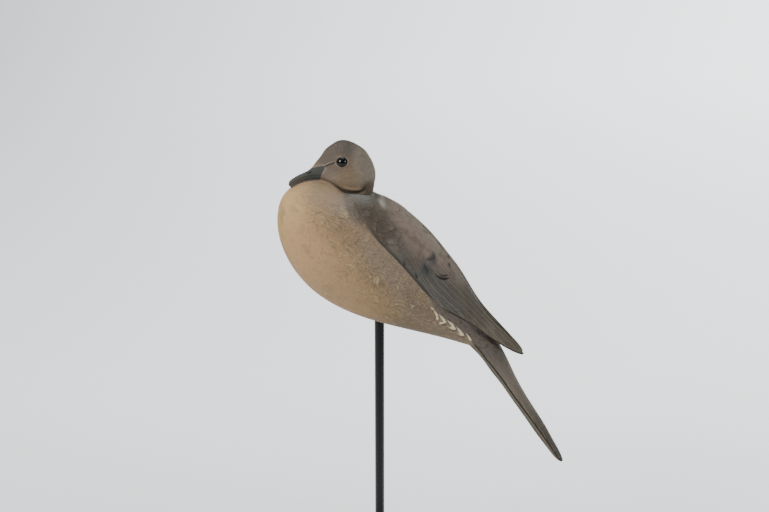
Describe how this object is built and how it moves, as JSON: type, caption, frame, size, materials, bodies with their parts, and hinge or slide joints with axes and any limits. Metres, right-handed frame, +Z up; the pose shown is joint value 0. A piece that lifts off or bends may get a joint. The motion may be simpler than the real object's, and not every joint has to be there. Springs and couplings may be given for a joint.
{
  "type": "carved dove decoy on a rod stand",
  "caption": "Carved and painted wooden dove decoy with folded wings and a long tail, held up by a round rod on a flat square base.",
  "frame": {"origin": "centre of the base plate's underside, on the rod's axis", "axes": "+Z up along the rod, +X towards the tail, -X towards the bill, -Y the bird's left side"},
  "size_m": [0.1901, 0.12, 0.329],
  "materials": {
    "painted_wood": "matt hand-painted feathers in tan, grey-brown and grey",
    "eye_glass": "polished black glass, opaque",
    "rod_paint": "satin black",
    "base_paint": "satin black"
  },
  "bodies": {
    "root": {"carved_dove": "painted_wood", "left_eye": "eye_glass", "right_eye": "eye_glass", "rod": "rod_paint", "base_plate": "base_paint"}
  },
  "joints": []
}
